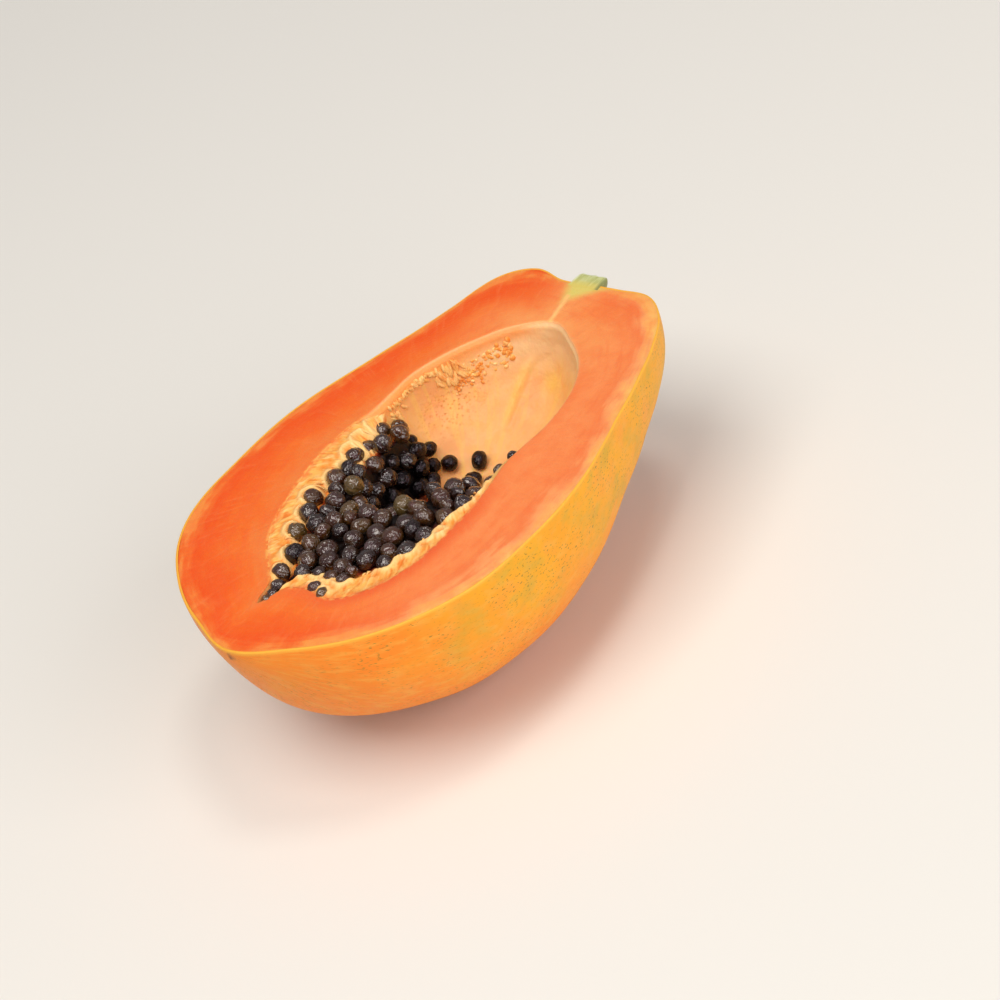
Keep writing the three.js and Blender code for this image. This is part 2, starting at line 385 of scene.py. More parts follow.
# A ripe papaya's cut flesh: soft and wet, deep orange-red where it is sweetest, with a pale band
# under the skin. Bundles of fibre a millimetre wide run out from the cavity as faint streaks. Its
# cells are drawn at 0.9 mm, several times their size, so that the wet grain shows.
def cut_flesh(add, place):
    blotch = add("TexNoise", grains(place, 17, 2))
    patch = add("TexNoise", grains(place, 6, 3))
    streak = add("TexNoise", grains("outward", 1, 4))
    ring = add("TexNoise", grains("around", 2.5, 3))
    tuft = add("TexNoise", grains(place, 2.4, 3))
    cells = add("TexNoise", grains(place, 0.9, 3))

    # The colour bands wander by up to an eighth of the flesh's width.
    wander = add("MapRange", (blotch, 0.3, 0.7, -0.12, 0.12))
    wander = add("Math", (ring, 0.5, wander), operation="MULTIPLY_ADD")
    wandered = add("Math", ("share", wander), operation="ADD")
    wandered = add("Math", (wandered, 0.25), operation="SUBTRACT")
    left_side = add("ValToRGB", (wandered,), stops=LEFT_FLESH)
    right_side = add("ValToRGB", (wandered,), stops=RIGHT_FLESH)
    patched = add("MapRange", (patch, 0.4, 0.7, 0, 0.3))
    streaked = add("MapRange", (streak, 0.55, 0.8, 0, 0.2))
    ringed = add("MapRange", (ring, 0.52, 0.7, 0, 0.3))
    tufted = add("MapRange", (tuft, 0.42, 0.56), **SOFT)
    tufted = add("Math", (tufted, "fuzz"), operation="MULTIPLY")
    color = add("Mix", {0: "right", 6: left_side, 7: right_side}, **COLORS)
    layers = (("deep", "#ec6230"), ("shoulder", "#f8a05c"), (patched, "#ee6a30"),
              (streaked, "#fba566"), (ringed, "#f07038"), ("lip", "#fec286"),
              (tufted, "#fbae5c"), ("stem", "#e0cb6c"), ("vein", "#fdc47a"))
    height = add("Math", (streak, 0.7, cells), operation="MULTIPLY_ADD")
    return surface(add, color, layers, (height, 0.35), (cells, 0.2, 0.8, 0.32, 0.52), FLESH_GLOW)


# The smooth inner wall of the cavity, paler than the flesh, with yellow patches where the lining
# clung to it and pores about a millimetre wide where seeds hung. By the stem end, where it faces
# away from the lamps, it is painted lighter: painted light.
def cavity_wall(add, place):
    soft = add("TexNoise", grains(place, 12, 3))
    cloud = add("TexNoise", grains(place, 4, 5))
    fine = add("TexNoise", grains(place, 1.6, 4))
    streak = add("TexNoise", grains("outward", 2.86, 3))
    cells = add("TexVoronoi", grains(place, 1.3, 0))

    base = add("MapRange", (soft, 0.35, 0.65), **SOFT)
    clouded = add("MapRange", (cloud, 0.48, 0.66, 0, 0.5), **SOFT)
    streaked = add("MapRange", (streak, 0.5, 0.64, 0, 0.6), **SOFT)
    pore = add("MapRange", (cells, 0.5, 0.1, 0, 0.75), **SOFT)
    pore = add("Math", (pore, "pitted"), operation="MULTIPLY")
    color = add("Mix", {0: base, 6: "#f5ab6d", 7: "#f8bb7a"}, **COLORS)
    # The stem end's mark lightens the wall there as painted light.
    layers = (("yellow", "#f9c064"), (clouded, "#f6b25c"), (streaked, "#fac26a"),
              ("peach", "#ffd09a"), (pore, "#e0863c"), ("high", "#f3984d"), ("lip", "#fec286"))
    height = add("Math", (fine, pore), operation="SUBTRACT")
    return surface(add, color, layers, (height, 0.4), (fine, 0.2, 0.8, 0.34, 0.56), FLESH_GLOW)


# Papaya skin: thin, smooth and waxy. It ripens from green to gold and then orange, keeps some
# green-grey clouds, and has olive corky flecks 0.7 mm wide that point along the fruit. The wax's
# own unevenness is drawn at 2.2 mm, coarser than it is, so that it breaks up the highlights.
def waxy_skin(add, place):
    cloud = add("TexNoise", grains(place, 24, 3))
    patch = add("TexNoise", grains(place, 9, 4))
    mottle = add("TexNoise", grains(place, 13, 4))
    grain = add("TexNoise", grains("lengthwise", 3.167, 5))
    spread = add("TexNoise", grains(place, 15, 2))
    fine = add("TexNoise", grains(place, 2.2, 4))
    specks = add("TexNoise", grains("lengthwise", 0.7308, 1))

    clouded = add("MapRange", (cloud, 0.3, 0.7, -0.25, 0.25))
    gold = add("Math", ("golden", clouded), operation="ADD", use_clamp=True)
    patched = add("MapRange", (patch, 0.45, 0.7, 0, 0.5), **SOFT)
    grained = add("MapRange", (grain, 0.45, 0.7, 0, 0.5), **SOFT)
    green = add("Math", (grain, 0.35, mottle), operation="MULTIPLY_ADD")
    green = add("MapRange", (green, 0.6, 0.95, 0, 0.6), **SOFT)
    green = add("Math", (green, "golden"), operation="MULTIPLY")
    fleck = add("MapRange", (specks, 0.6, 0.7), **SOFT)
    spotty = add("MapRange", (spread, 0.42, 0.6, 0.2, 0.8), **SOFT)
    fleck = add("Math", (fleck, spotty), operation="MULTIPLY")
    color = add("Mix", {0: gold, 6: "#f68821", 7: "#f2a61f"}, **COLORS)
    layers = ((patched, "#f3993a"), (grained, "#f4ac46"), (green, "#bfa134"),
              (fleck, "#8f752a"), ("rim", "#f4ae3e"), ("scar", "#2c2114"))
    height = add("Math", (fleck, 0.5, fine), operation="MULTIPLY_ADD")
    looks = {**glow(0.15, 2, (1, 0.5, 0.2), 1.4), "Specular IOR Level": 0.35}
    return surface(add, color, layers, (height, 0.15), (fine, 0.2, 0.8, 0.42, 0.56), looks)


# The soft lining that held the seeds: moist tissue of strings a millimetre wide, cream where it
# is thick, yellow to orange where it is thin, and the flesh's colour at its outer edge. Its raised
# crests, lips and fibre tips are painted paler, partly their own colour and partly painted
# highlight, and its grooves and fibre roots a deeper orange, partly painted shade.
def lining_fibres(add, place):
    string = add("TexNoise", grains("inward", 1, 4))
    tone = add("TexNoise", grains(place, 4, 4))
    fine = add("TexNoise", grains(place, 0.8, 3))

    toned = add("MapRange", (tone, 0.38, 0.62), **SOFT)
    creamy = add("MapRange", (string, 0.45, 0.7, 0, 0.7), **SOFT)
    blended = add("MapRange", (tone, 0.7, 0.3), **SOFT)
    blended = add("Math", ("outer", blended), operation="MULTIPLY")
    color = add("Mix", {0: toned, 6: "#f29238", 7: "#fbb75c"}, **COLORS)
    layers = ((creamy, "#fdc67a"), ("pale", "#fed38e"), ("deep", "#ea7d2c"), (blended, "#f58a48"))
    height = add("Math", (fine, 0.5, string), operation="MULTIPLY_ADD")
    looks = {**FLESH_GLOW, "Subsurface Weight": 0.04}  # little, in threads this thin
    return surface(add, color, layers, (height, 0.5), (fine, 0.2, 0.8, 0.28, 0.5), looks)


# A fresh papaya seed: black-brown to olive, with wrinkles about 2 mm apart, in a thin wet sac of
# jelly. The jelly's own smoother surface gives a few broad, broken highlights, and it scatters a
# little lavender. Seeds deep in the hollow are painted darker, as painted shade where hardly any
# light gets in, and their jelly's coat is turned down so that it doesn't shine.
def seed_jelly(add, place):
    crease = add("TexNoise", {**grains("own", 2.222, 2), "Distortion": 0.8})
    tint = add("TexNoise", grains("own", 3.333, 3))
    film = add("TexNoise", {**grains("own", 2.381, 1.5), "Distortion": 1})

    color = add("ValToRGB", ("shade",),
                 stops=((0, "#040201"), (0.25, "#2a1207"), (0.85, "#47230e"), (1, "#5f4b20")))
    stained = add("MapRange", (tint, 0.46, 0.62, 0, 0.8), **SOFT)
    stained = add("Math", (stained, "shade"), operation="MULTIPLY")
    color = add("Mix", {0: stained, 6: color, 7: "#523911"}, **COLORS)

    relief = add("Bump", {"Strength": 1, "Distance": 1.2 * MM, "Height": crease})
    wet = add("Bump", {"Strength": 1, "Distance": 1.3 * MM, "Height": film})
    rough = add("MapRange", (tint, 0.3, 0.7, 0.24, 0.4))
    # The coat fades on the darkest seeds, so that the painted shade in the hollow doesn't shine.
    jelly = add("MapRange", ("shade", 0, 0.15, 0.15, 1))
    return {"Base Color": color, "Roughness": rough, "Normal": relief, "IOR": 1.5,
            "Specular IOR Level": 0.3, "Specular Tint": "#ecc8e4",
            "Coat Weight": jelly, "Coat Roughness": 0.08, "Coat IOR": 1.75, "Coat Normal": wet}


# The soft tissue under the seeds: dark and wet in the middle, orange and yellow at its border.
def seed_pulp(add, place):
    tone = add("TexNoise", grains(place, 3.2, 4))
    uneven = add("Math", (tone, 0.6, "border"), operation="MULTIPLY_ADD")
    color = add("ValToRGB", (uneven,),
                 stops=((0.35, "#120604"), (0.6, "#5c1b0b"), (0.85, "#b8491c"), (1, "#f2963f")))
    looks = glow(0.1, 2, (1, 0.3, 0.1), 1.36)
    return surface(add, color, (), (tone, 0.9), (tone, 0.3, 0.7, 0.3, 0.55), looks)


# The cut stem stub: pale green, with fibres half a millimetre wide, nearly white along its torn
# end. A painted highlight lightens its left edge, and painted shadow darkens its right side.
def cut_stem(add, place):
    string = add("TexNoise", grains("strings", 0.4545, 3))
    toned = add("MapRange", (string, 0.35, 0.65), **SOFT)
    color = add("Mix", {0: toned, 6: "#b3b56c", 7: "#cfd296"}, **COLORS)
    # The end colour also carries a painted highlight along the left edge, and under is painted shadow on the
    # right side.
    layers = (("base", "#dcc767"), ("end", "#dfe3bd"), ("under", "#7d8150"))
    looks = glow(0.15, 2, (0.8, 1, 0.4), 1.4)
    return surface(add, color, layers, (string, 0.4), (string, 0.3, 0.7, 0.45, 0.65), looks)


# ---- skin ----

AROUND_SKIN = 480
SKIN_ROWS = {"outer": 100, "inner": 24}
RIM_ROUNDING = ((0.0, 0.45), (0.1, 0.16), (0.32, 0.02), (0.62, 0.0), (0.95, 0.12))  # inward, down
SKIN_OVERLAP = 0.15  # of its inner side, into the flesh
RIDGES = {"count": 5, "height": 0.45, "turn": 0.6}  # blunt ones that run lengthwise
WAVES = {"size": 26, "height": 0.35}
SKIN_STRETCH = 1.684  # how many times as long as wide the skin's grain is
SCAR = (-107.4, -0.5, -2.6)  # where the blossom was
SKIN_MARKS = {
    "rim": (1, ("z", -1.3, -0.25)),
    "golden": (1, ("x", -92, -45), ("z", -52, -16)),
    "scar": (1, ("off_scar", 1.5, 0.75)),
}


def skin_relief(points):
    roll = np.arctan2(points[..., 2], points[..., 1])
    fullness = np.clip(np.hypot(points[..., 1], points[..., 2]) / BELLY_RADIUS, 0, 1)
    ridges = RIDGES["height"] * np.cos(RIDGES["count"] * roll + RIDGES["turn"]) * fullness
    return ridges + WAVES["height"] * lumps(points, WAVES["size"])


def skin_ring(cos, sin, down, inset):
    """A ring of the skin at an angle below the cut face, or of a surface some way inside it."""
    flat = math.cos(down)
    x, y, z = cos * flat, sin * flat, np.full_like(cos, -math.sin(down))
    distance = skin_distance(x, y, z)
    ring = np.stack([x, y, z], -1) * distance[:, None]
    distance = distance + skin_relief(ring) - inset
    ring = np.stack([x, y, z], -1) * distance[:, None]
    ring[:, 2] = np.maximum(ring[:, 2], LOWEST + inset)
    return ring


def make_skin(material):
    cos, sin = directions(AROUND_SKIN)
    outer = [skin_ring(cos, sin, down, 0)
             for down in np.linspace(0.995 * STRAIGHT_DOWN, math.radians(0.9), SKIN_ROWS["outer"])]
    edge = skin_ring(cos, sin, 0, 0)
    rounding = []
    for inward, down in RIM_ROUNDING:
        length = np.hypot(edge[:, 0], edge[:, 1])
        ring = edge * (1 - inward / length)[:, None]
        ring[:, 2] = -down
        rounding.append(ring)
    inner = [skin_ring(cos, sin, down, SKIN_THICKNESS + SKIN_OVERLAP)
             for down in np.linspace(math.radians(1.2), 0.99 * STRAIGHT_DOWN, SKIN_ROWS["inner"])]
    rings = outer + rounding + inner
    points = ring_body([0, 0, LOWEST], rings, [0, 0, LOWEST + SKIN_THICKNESS])
    x, y, z = points.T
    attributes = marks(SKIN_MARKS, {"x": x, "z": z, "off_scar": np.linalg.norm(points - SCAR, axis=1)})
    attributes["lengthwise"] = np.stack([x / SKIN_STRETCH, np.arctan2(z, y) * BELLY_RADIUS, 0 * x], -1)
    add_piece("skin", points, ring_faces(len(rings), AROUND_SKIN), [material], ["fruit"], attributes)


# ---- flesh with the cavity ----

AROUND_FLESH = 560
FLESH_ROWS = {"wall": 64, "face": 44, "back": 30}
# From the top of the wall a slanted lip rises to the flesh's edge, which is rounded over.
LIP = {"bottom": 1.6, "top": 0.5, "shares": (0.25, 0.5, 0.75, 0.93)}
EDGE_ROUNDING = ((0, 0.35), (0.25, 0.12), (0.7, 0.02))  # outward, down
FACE_WAVES = {"height": 0.12, "size": 18}
FLESH_WIDTH = 30  # a usual one, from the cavity's edge to the skin
FLESH_STRETCH = {"outward": 9, "around": 3}  # how many times as long as wide its grain is
# Soft folds: height, size, squeeze along the fruit and pattern number. They fade in below the
# lip, down to a depth.
WALL_FOLDS = ((0.8, 9, 0.2, 3.1), (0.3, 4, 0.2, 7.7), (0.12, 2.6, 1, 1.9))
FOLDS_FULL = 8
# A crease in the wall: its direction at a height, how that turns per millimetre down, and the
# heights between which it fades. A groove and a ridge lie along it, by their depth, degrees to
# its left and half width, and a yellow stain.
CREASE = {"direction": 8, "height": -14, "turn": 0.46, "top": (-11, -15), "bottom": (-31, -25)}
CREASE_BANDS = ((0.5, -1, 0.9), (-0.6, 1.3, 1.5))
CREASE_STAIN = (1.8, 2.2)
STEM_WEDGE = ((92.9, 9), (92.9, -8), (82.5, 4.4))  # the green flesh where the stem runs in
VEIN = ((70.5, 1.4), (85, 4.3))  # a pale one, from the cavity to the stem
# Colour marks. On the cut face the direction is the angle from the stem to either side, and the
# share is that of the way from the cavity's edge to the skin.
FACE_MARKS = {
    "fuzz": (1, ("past_edge", 1.8, 0.3), ("width", 2, 5)),
    "lip": (0.6, ("past_edge", 0.9, 0.2), ("z", -0.9, -0.4), ("direction", 95, 60)),
    "right": (1, ("y", 22, -26), ("direction", -10, 30), ("direction", 174, 136)),
    "deep": (0.85, ("y", 22, -26), ("direction", -10, 30), ("direction", 88, 128), ("share", 0.3, 0.04)),
    "shoulder": (0.9, ("x", 42, 74), ("share", 0.7, 0.02)),
    "stem": (1, ("in_wedge", -3.2, 2.6)),
    "vein": (0.9, ("off_vein", 1.4, 0.3), ("z", -3, -1)),
}
NECK = {"strength": 0.9, "y": 1, "half_width": 13, "x": (64, 74)}  # pale flesh by the stem
WALL_MARKS = {
    "yellow": (0.4, ("y", 14, -12), ("z", -38, -20)),
    "high": (0.85, ("z", -7, -2), ("y", 2, 14)),
    # Painted light: the wall by the stem end, which faces away from the lamps, is painted lighter.
    "peach": (0.9, ("x", 44, 58), ("z", -20, -6)),
}
# Round spots on the wall: the middle and half the extent, in direction and in height.
YELLOW_SPOT = ((1, 3), (-20, 3))
PITTED_SPOT = ((38, 14), (-17, 6.5))


def crease(points, aside, half_width):
    """The strength of a band beside the crease, some degrees to its left."""
    x, y, z = points.T
    direction = np.degrees(np.arctan2(y, x)) - CREASE["direction"] - (CREASE["height"] - z) * CREASE["turn"]
    fade = ramp(z, *CREASE["top"]) * ramp(z, *CREASE["bottom"])
    return fade * hill(direction, aside, half_width)


def wall_relief(points):
    """How far the wall lies back from its smooth form."""
    folds = sum(height * lumps(points * (squeeze, 1, 1), size, pattern)
                for height, size, squeeze, pattern in WALL_FOLDS)
    return folds + sum(depth * crease(points, *band) for depth, *band in CREASE_BANDS)


def distance_to_line(x, y, start, end):
    ahead = np.subtract(end, start)
    share = np.clip(((x - start[0]) * ahead[0] + (y - start[1]) * ahead[1]) / np.dot(ahead, ahead), 0, 1)
    return np.hypot(x - start[0] - share * ahead[0], y - start[1] - share * ahead[1])


def depth_in_triangle(x, y, corners):
    """How far points lie inside a triangle, and less than 0 outside it."""
    depth = np.full_like(x, np.inf)
    for (ax, ay), (bx, by) in zip(corners, corners[1:] + corners[:1]):
        length = math.hypot(bx - ax, by - ay)
        depth = np.minimum(depth, ((by - ay) * (x - ax) - (bx - ax) * (y - ay)) / length)
    return depth


def face_attributes(points, share):
    """What the cut face's colours go by."""
    x, y, z = points.T
    distance = np.hypot(x, y)
    edge, width = edge_and_width(x, y)
    found = marks(FACE_MARKS, {
        "x": x, "y": y, "z": z, "share": share, "width": width,
        "direction": np.degrees(np.arctan2(np.abs(y), x)),
        "past_edge": distance - edge,
        "in_wedge": depth_in_triangle(x, y, STEM_WEDGE),
        "off_vein": distance_to_line(x, y, *VEIN),
    })
    neck = NECK["strength"] * hill(y, NECK["y"], NECK["half_width"]) * ramp(x, *NECK["x"])
    found["shoulder"] = np.maximum(found["shoulder"], neck)
    return {
        **found,
        "share": share,
        "outward": fanned(x, y, distance / FLESH_STRETCH["outward"]),
        "around": fanned(x, y, share * FLESH_WIDTH, FLESH_STRETCH["around"]),
    }


def wall_attributes(points):
    """What the wall's colours go by."""
    x, y, z = points.T
    direction = np.degrees(np.arctan2(y, x))
    spot, pitted = (hill(direction, *aside) * hill(z, *up) for aside, up in (YELLOW_SPOT, PITTED_SPOT))
    found = marks(WALL_MARKS, {"x": x, "y": y, "z": z})
    found["yellow"] = np.clip(found["yellow"] + spot + crease(points, *CREASE_STAIN), 0, 1)
    return {**found, "pitted": pitted}


def make_flesh(cut, wall):
    cos, sin = directions(AROUND_FLESH)
    opening = opening_distance(cos, sin)
    edge = edge_distance(cos, sin)
    outside = skin_distance(cos, sin, 0 * cos) - SKIN_THICKNESS
    flat_ring = partial(round_heart, cos, sin)
    cut_part, wall_part = 0, 1
    rows = []  # each a ring, its share of the way to the skin and its part

    power = 2 / CAVITY_FULLNESS
    start = math.asin((LIP["bottom"] / CAVITY_DEPTH) ** (1 / power))
    for angle in np.linspace(math.radians(89), start, FLESH_ROWS["wall"]):
        smooth = flat_ring(opening * math.cos(angle) ** power, -CAVITY_DEPTH * math.sin(angle) ** power)
        push = wall_relief(smooth) * ramp(-smooth[:, 2], LIP["bottom"], FOLDS_FULL)
        rows.append((smooth * (1 + push / np.linalg.norm(smooth, axis=1))[:, None], 0, wall_part))
    for share in LIP["shares"]:
        height = -LIP["bottom"] + (LIP["bottom"] - LIP["top"]) * share
        rows.append((flat_ring(opening + (edge - opening) * share, height), 0, wall_part))
    for outward, down in EDGE_ROUNDING:
        rows.append((flat_ring(edge + outward, -down), 0, cut_part))
    rounded = edge + EDGE_ROUNDING[-1][0]
    for share in np.linspace(0.03, 1, FLESH_ROWS["face"]):
        distance = rounded + (outside - rounded) * share
        waves = FACE_WAVES["height"] * lumps(flat_ring(distance, 0), FACE_WAVES["size"], 5.5)
        rows.append((flat_ring(distance, waves * math.sin(math.pi * share)), share, cut_part))
    for down in np.linspace(math.radians(1), 0.99 * STRAIGHT_DOWN, FLESH_ROWS["back"]):
        rows.append((skin_ring(cos, sin, down, SKIN_THICKNESS), 1, cut_part))

    rings, shares, parts = zip(*rows)
    points = ring_body([0, 0, -CAVITY_DEPTH], rings, [0, 0, LOWEST + SKIN_THICKNESS])
    share = np.concatenate([[0], np.repeat(shares, AROUND_FLESH), [1]])
    face_parts = np.repeat((wall_part, *parts), AROUND_FLESH)
    add_piece("flesh", points, ring_faces(len(rings), AROUND_FLESH), [cut, wall], ["fruit"],
              {**face_attributes(points, share), **wall_attributes(points)}, face_parts)


# ---- lining ----

AROUND_LINING = 1300
LINING_ROWS = {"top": 40, "bottom": 5}
# The lining's top starts just below the flesh's edge, which it overlaps, slopes down inwards and
# falls faster past the opening. Between two widths it turns from a bare edge, of a share of its
# width and sunk into the flesh, to full soft tissue.
LINING = {"drop": 0.12, "overlap": 0.35, "slope": 0.08, "fall": 0.6, "fall_power": 1.25,
          "thickness": 2.4, "soft": (1.2, 4), "bare": 0.3, "sunk": 3}
# How far it runs in under the outer seeds, and the waves and tears of its inner edge.
REACH = {"length": 6.5, "waves": 2, "wave_size": 5, "tears": 2.5, "tear_size": 2.3}
FOLDS = {"height": 0.6, "size": 4.5, "full": 2}
STRINGS = {"height": 0.3, "width": 1.5, "length": 6, "sway": 1.3, "sway_size": 3.5}
# The lip that swells round each seed that the lining holds, from some way in. It is painted
# paler, partly as painted highlight.
SWELL = {"height": 1.1, "gap": 0.3, "half_width": 1.1, "full": 2.5, "pale": 0.75}
# String crests painted paler and grooves deeper orange: partly the tissue's colour, partly painted highlight
# and painted shade.
STRING_CREST = {"step": (0.1, 0.6), "pale": 0.5}
STRING_GROOVE = (-0.25, -0.6)
OUTER_BAND = (2.2, 0.2)
LINING_STRETCH = {"inward": 5, "down": 2}  # how many times as long as wide its strings are
# Fine fibres that start at a share of the lining's width and run inwards.
STRANDS = {"count": 50, "tries": 600, "farthest": 80, "wide": (1.5, 6), "start": (0.85, 1.1),
           "length": (2, 4.5), "sway": 0.6, "curl": 0.4, "half_turns": 1.6, "radius": (0.15, 0.38),
           "arch": 0.4, "pale": 0.4}
FIBRE_SHAPE = np.array([0.6, 0.95, 1.0, 0.95, 1.0, 0.9, 0.55])  # thickness along a fibre
# Tassels hang down the left wall. Each row is a count, the directions between which they hang,
# and the ranges of their top heights, lengths and radii: a bunch of long ones, short teeth under
# the rim, and a few below these.
TASSELS = (
    (38, (31, 41), (-8, -2), (2.5, 5), (0.4, 0.75)),
    (40, (40, 66), (-3.2, -1.8), (1.2, 2.4), (0.45, 0.8)),
    (10, (58, 76), (-10, -4), (2, 4), (0.6, 1)),
)
# Tassels are painted paler towards their tips, partly as painted highlight.
TASSEL = {"lean": (-0.6, 2.4), "bulge": 0.5, "rooted": 0.1, "pale": 0.5}
# Knobs lie on the left wall along a slanted line: its directions, its heights, half its width,
# and how much the knobs shrink along it.
KNOBS = {"count": 260, "from": 14, "to": 34, "start": -7.4, "end": -11.8, "spread": 1.9, "crowding": 1.3,
         "highest": -4, "radius": (0.45, 0.95), "uneven": (0.7, 1.4), "shrink": (1.15, 0.6),
         "rooted": 1.006, "sides": 12, "rings": 8}


def lining_height(inward, width):
    """The height of the lining's top, an inward distance from the flesh's edge."""
    past = np.maximum(0, inward - width)
    return -LINING["drop"] - LINING["slope"] * inward - LINING["fall"] * past ** LINING["fall_power"]


def swelling(x, y, seeds):
    """How strongly the lining swells round the seeds that it holds, from 0 to 1."""
    strength = np.zeros_like(x)
    for seed_x, seed_y, _, radius in seeds:
        gap = np.hypot(x - seed_x, y - seed_y) - radius
        strength = np.maximum(strength, hill(gap, SWELL["gap"], SWELL["half_width"]))
    return strength


def lining_sheet(seeds):
    """The soft sheet that lines the cavity's mouth, a closed ring."""
    cos, sin = directions(AROUND_LINING)
    edge, width = edge_and_width(cos, sin)
    soft = ramp(width, *LINING["soft"])
    at_edge = round_heart(cos, sin, edge, 0)
    waves = REACH["waves"] * lumps(at_edge, REACH["wave_size"], 9.1)
    tears = REACH["tears"] * np.abs(lumps(at_edge, REACH["tear_size"], 4.4))
    reach = soft * (REACH["length"] + waves - tears)
    share = np.linspace(0, 1, LINING_ROWS["top"])[:, None]
    inward = (width * (LINING["bare"] + (1 - LINING["bare"]) * soft) + reach) * share
    distance = edge + LINING["overlap"] - inward
    x, y = cos * distance, sin * distance
    held = swelling(x, y, seeds) * ramp(inward, 0, SWELL["full"])
    flat = np.stack([x, y, 0 * x], -1)
    folds = lumps(flat, FOLDS["size"], 6.2)
    sway = STRINGS["sway"] * lumps(flat, STRINGS["sway_size"], 8.8)
    across, ahead = edge / STRINGS["width"], inward / STRINGS["length"]
    strings = lumps(np.stack([cos * across + sway, sin * across + sway, ahead], -1), 1, 3.7)
    rise = (FOLDS["height"] * folds + STRINGS["height"] * strings) * ramp(inward, 0, FOLDS["full"])
    sunk = LINING["sunk"] * (1 - soft)
    top = lining_height(inward, width) + soft * (rise + SWELL["height"] * held) - sunk
    under = np.linspace(1, 0, LINING_ROWS["bottom"])[:, None] * inward[-1:]
    distance = np.concatenate([distance, edge + LINING["overlap"] - under])
    height = np.concatenate([top, lining_height(under, width) - LINING["thickness"] - sunk])
    # Crests and swollen lips are painted paler, partly as painted highlight, and grooves deeper orange,
    # partly as painted shade.
    crests = STRING_CREST["pale"] * ramp(strings, *STRING_CREST["step"])
    top_and_bottom = {
        "pale": (np.clip(SWELL["pale"] * held + crests, 0, 1), 0),
        "deep": (ramp(strings, *STRING_GROOVE) * (1 - held), 1),
        "outer": (ramp(inward, *OUTER_BAND), 1),
    }
    rows, faces = len(height), []
    for row in range(rows):
        faces += band_faces(row * AROUND_LINING, (row + 1) % rows * AROUND_LINING, AROUND_LINING)
    return round_heart(cos, sin, distance, height).reshape(1, -1, 3), faces, {
        label: np.concatenate([above, np.full_like(under, below)]).ravel()
        for label, (above, below) in top_and_bottom.items()
    }


def fibre_tubes(lines, radius, angle, pale):
    """Tapered round fibres along lines, with how pale each point is. The paler tips stand partly
    for painted highlight, and the deeper orange where they are less pale partly for painted shade.
    """
    across = np.stack([-np.sin(angle), np.cos(angle), 0 * angle], -1)
    bodies, faces = tubes(lines, radius * FIBRE_SHAPE, across)
    pale = np.concatenate([pale[:, :1], np.repeat(pale, TUBE_SIDES, axis=1), pale[:, -1:]], axis=1).ravel()
    return bodies, faces, {"pale": pale, "deep": 0.5 * ramp(pale, 0.6, 0)}


def strands(draw):
    angle = draw.uniform(0, 2 * math.pi, STRANDS["tries"])
    edge, width = edge_and_width(np.cos(angle), np.sin(angle))
    chance = edge / STRANDS["farthest"] * ramp(width, *STRANDS["wide"])
    lucky = draw.uniform(0, 1, len(angle)) < chance
    angle, edge, width = (values[lucky][:STRANDS["count"], None] for values in (angle, edge, width))
    size = angle.shape
    start = draw.uniform(*STRANDS["start"], size) * width
    length = draw.uniform(*STRANDS["length"], size)
    sway = draw.uniform(-STRANDS["sway"], STRANDS["sway"], size) * length
    curl = draw.uniform(-STRANDS["curl"], STRANDS["curl"], size)
    radius = draw.uniform(*STRANDS["radius"], size)
    t = np.linspace(0, 1, len(FIBRE_SHAPE))
    inward = start + length * t
    distance = edge - inward
    turned = angle + (sway * t + curl * np.sin(math.pi * t * STRANDS["half_turns"])) / distance
    height = lining_height(inward, width) + radius + STRANDS["arch"] * np.sin(math.pi * t)
    lines = round_heart(np.cos(turned), np.sin(turned), distance, height)
    pale = STRANDS["pale"] + t * draw.uniform(0, 1 - STRANDS["pale"], size)
    return fibre_tubes(lines, radius, angle[:, 0], pale)


def tassels(draw, count, direction, top, length, radius):
    size = (count, 1)
    angle = np.radians(draw.uniform(*direction, size))
    t = np.linspace(0, 1, len(FIBRE_SHAPE))
    height = draw.uniform(*top, size) - draw.uniform(*length, size) * t
    lines = wall_point(angle - draw.uniform(*TASSEL["lean"], size) * t / WALL_DISTANCE, height)
    stand_off = TASSEL["bulge"] * np.sin(math.pi * t) - TASSEL["rooted"]
    lines[..., :2] *= (1 - stand_off / WALL_DISTANCE)[:, None]
    pale = draw.uniform(0, 1 - TASSEL["pale"], size) + TASSEL["pale"] * t
    return fibre_tubes(lines, draw.uniform(*radius, size), angle[:, 0], pale)


def knobs(draw):
    points, faces = ball(KNOBS["sides"], KNOBS["rings"])
    count = KNOBS["count"]
    share = draw.uniform(0, 1, count) ** KNOBS["crowding"]
    angle = np.radians(KNOBS["from"] + (KNOBS["to"] - KNOBS["from"]) * share)
    height = KNOBS["start"] + (KNOBS["end"] - KNOBS["start"]) * share
    height += draw.normal(0, KNOBS["spread"], count)
    middle = wall_point(angle, np.minimum(height, KNOBS["highest"])) * (KNOBS["rooted"], KNOBS["rooted"], 1)
    size = draw.uniform(*KNOBS["radius"], (count, 1, 1)) * draw.uniform(*KNOBS["uneven"], (count, 1, 3))
    largest, shrink = KNOBS["shrink"]
    bodies = middle[:, None] + points * size * (largest - shrink * share)[:, None, None]
    shade = np.repeat(draw.uniform(0, 1, count), len(points))
    return bodies, faces, {"pale": ramp(shade, 0.6, 1), "deep": 0.5 * ramp(shade, 0.5, 0)}


